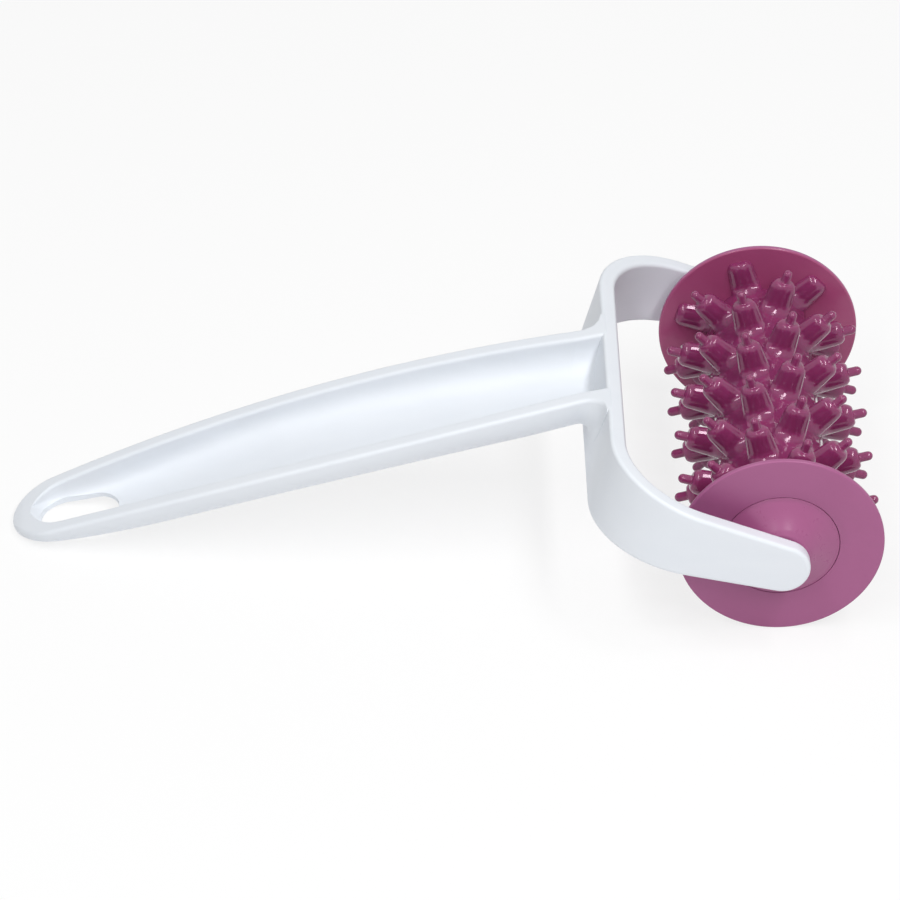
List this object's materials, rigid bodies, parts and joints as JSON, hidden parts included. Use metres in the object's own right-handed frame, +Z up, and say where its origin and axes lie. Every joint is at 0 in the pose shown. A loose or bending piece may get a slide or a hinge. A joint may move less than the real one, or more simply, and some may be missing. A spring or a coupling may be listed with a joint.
{
  "type": "dough docker",
  "caption": "Dough docker: a plastic roller of spiked rings between two end discs, turning on an axle in the fork of a hollow hanging handle.",
  "frame": {"origin": "on the table, under the middle of the tool's bounding box", "axes": "+X runs from the handle's tip to the roller, +Y along the roller's axis to the left disc, +Z up; the tool rests on its two discs and on its handle's tip"},
  "size_m": [0.2123, 0.1108, 0.05],
  "materials": {
    "handle_plastic": "white moulded plastic, slightly glossy",
    "roller_plastic": "mulberry moulded plastic, glossy",
    "disc_plastic": "mulberry moulded plastic, satin",
    "cap_plastic": "mulberry moulded plastic, satin",
    "axle_steel": "drawn steel rod"
  },
  "bodies": {
    "handle_frame": {"handle": "handle_plastic", "axle": "axle_steel"},
    "roller": {"spindle": "roller_plastic", "left_disc": "disc_plastic", "right_disc": "disc_plastic", "left_cap": "cap_plastic", "right_cap": "cap_plastic", "ring_1": "roller_plastic", "ring_2": "roller_plastic", "ring_3": "roller_plastic", "ring_4": "roller_plastic", "ring_5": "roller_plastic", "ring_6": "roller_plastic", "ring_7": "roller_plastic", "ring_8": "roller_plastic", "ring_9": "roller_plastic"}
  },
  "joints": [
    {"name": "roller_spin", "type": "hinge", "parent": "handle_frame", "child": "roller", "pos_m": [0.08115, 0, 0.025], "axis": [0, 1, 0], "continuous": true}
  ]
}
